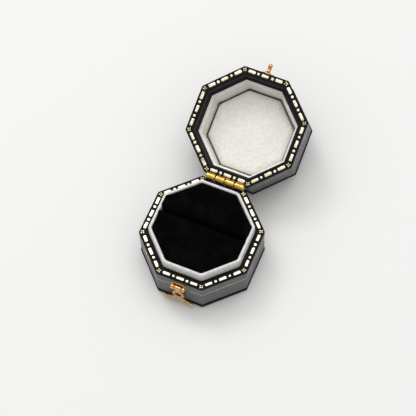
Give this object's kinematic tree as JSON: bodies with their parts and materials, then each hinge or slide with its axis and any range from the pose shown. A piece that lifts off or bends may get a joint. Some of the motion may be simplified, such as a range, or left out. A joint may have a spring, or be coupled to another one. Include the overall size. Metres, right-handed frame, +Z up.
{
  "type": "ring box",
  "caption": "Octagonal leather ring box with gilt-tooled rims, a velvet ring pad in a satin collar, and a satin-lined lid on a barrel hinge with a hasp clasp.",
  "frame": {"origin": "centre of the base's underside, on the surface it stands on", "axes": "+Z up; -Y out of the front wall with the clasp; +Y out of the back wall with the hinge; +X to the right seen from the front"},
  "size_m": [0.051, 0.1087, 0.037],
  "materials": {
    "grey_leather": "satin",
    "black_leather": "satin",
    "gilt_foil": "polished",
    "tooled_line": "matte",
    "hinge_brass": "polished",
    "clasp_brass": "polished",
    "silver_satin": "satin",
    "ivory_satin": "satin",
    "black_velvet": "matte",
    "felt": "matte",
    "lining_paper": "matte",
    "card": "matte",
    "wood": "matte"
  },
  "bodies": {
    "base": {"base_felt": "felt", "base_bottom_panel": "black_leather", "base_floor_board": "wood", "base_wall_frame": "wood", "base_leather": "grey_leather", "base_rim_facing": "black_leather", "base_rim_gilding": "gilt_foil", "base_side_gilt_line": "tooled_line", "collar_card": "card", "collar_satin": "silver_satin", "pad_block": "wood", "ring_pad_front": "black_velvet", "ring_pad_rear": "black_velvet", "hinge_leaf_base": "hinge_brass", "hinge_tacks_base": "hinge_brass", "hinge_pin": "hinge_brass", "clasp_plate": "clasp_brass", "clasp_plate_pins": "clasp_brass", "clasp_hinge_pin": "clasp_brass"},
    "hasp": {"clasp_hasp": "clasp_brass"},
    "lid": {"lid_top_panel": "black_leather", "lid_wall_frame": "wood", "lid_leather": "grey_leather", "lid_rim_facing": "black_leather", "lid_rim_gilding": "gilt_foil", "lid_side_gilt_line": "tooled_line", "lid_inner_wall": "lining_paper", "lid_side_lining": "ivory_satin", "lid_pad_card": "card", "lid_satin_pad": "ivory_satin", "hinge_leaf_lid": "hinge_brass", "hinge_tacks_lid": "hinge_brass", "lid_catch_plate": "clasp_brass", "lid_catch_pins": "clasp_brass", "lid_catch_stud": "clasp_brass"}
  },
  "joints": [
    {"name": "lid_hinge", "type": "hinge", "parent": "base", "child": "lid", "pos_m": [0, 0.026, 0.01965], "axis": [1, 0, 0], "range_deg": [0, 160]},
    {"name": "hasp_pivot", "type": "hinge", "parent": "base", "child": "hasp", "pos_m": [0, -0.0264, 0.0155], "axis": [-1, 0, 0], "range_deg": [0, 178]}
  ]
}
